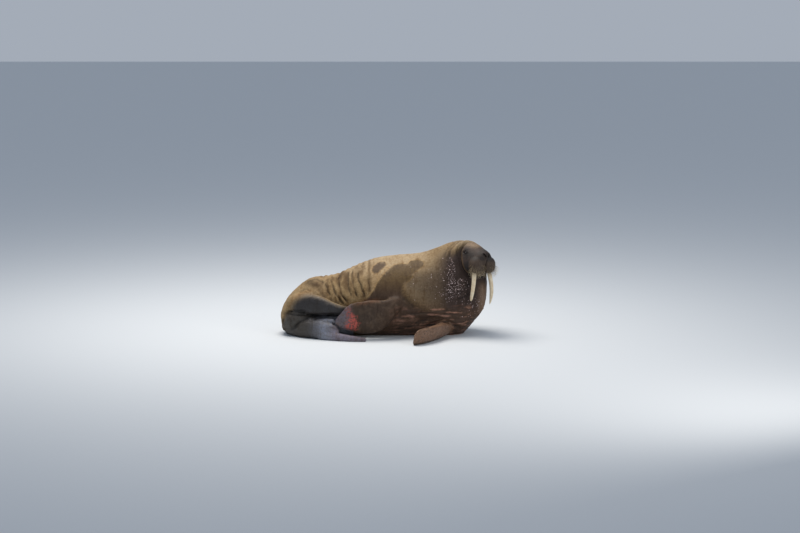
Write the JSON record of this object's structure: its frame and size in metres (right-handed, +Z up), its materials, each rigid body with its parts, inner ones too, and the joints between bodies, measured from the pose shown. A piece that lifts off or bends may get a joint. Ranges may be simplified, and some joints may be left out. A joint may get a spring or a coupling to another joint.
{
  "type": "walrus",
  "caption": "Life-size adult bull walrus resting on its left side and belly, chest and head raised, tusks hanging down, flippers folded along the belly",
  "frame": {"origin": "on the floor, under the centre of the bounding box", "axes": "+X from the rump to the head, +Z up, the belly towards -Y"},
  "size_m": [2.5116, 1.3722, 1.07],
  "materials": {
    "back_hide": "short dry golden-tan coat over thick folded hide",
    "chest_hide": "dark brown, knobbly and nearly bare hide",
    "face_hide": "grey-brown, finely wrinkled hide",
    "bare_skin": "smooth blue-grey bare skin with a slight sheen",
    "ivory": "polished cream ivory with fine lengthwise cracks",
    "wet_eye": "wet, very dark reddish brown"
  },
  "bodies": {
    "root": {"hindquarters": "back_hide", "torso": "back_hide", "chest": "chest_hide", "neck": "chest_hide", "head": "face_hide", "muzzle_right": "face_hide", "muzzle_left": "face_hide", "lower_jaw": "face_hide", "eye_right": "wet_eye", "eye_left": "wet_eye", "tusk_right": "ivory", "tusk_left": "ivory", "fore_flipper_right": "bare_skin", "fore_flipper_left": "bare_skin", "hind_flipper_right": "bare_skin", "hind_flipper_left": "bare_skin", "tail": "bare_skin"}
  },
  "joints": []
}
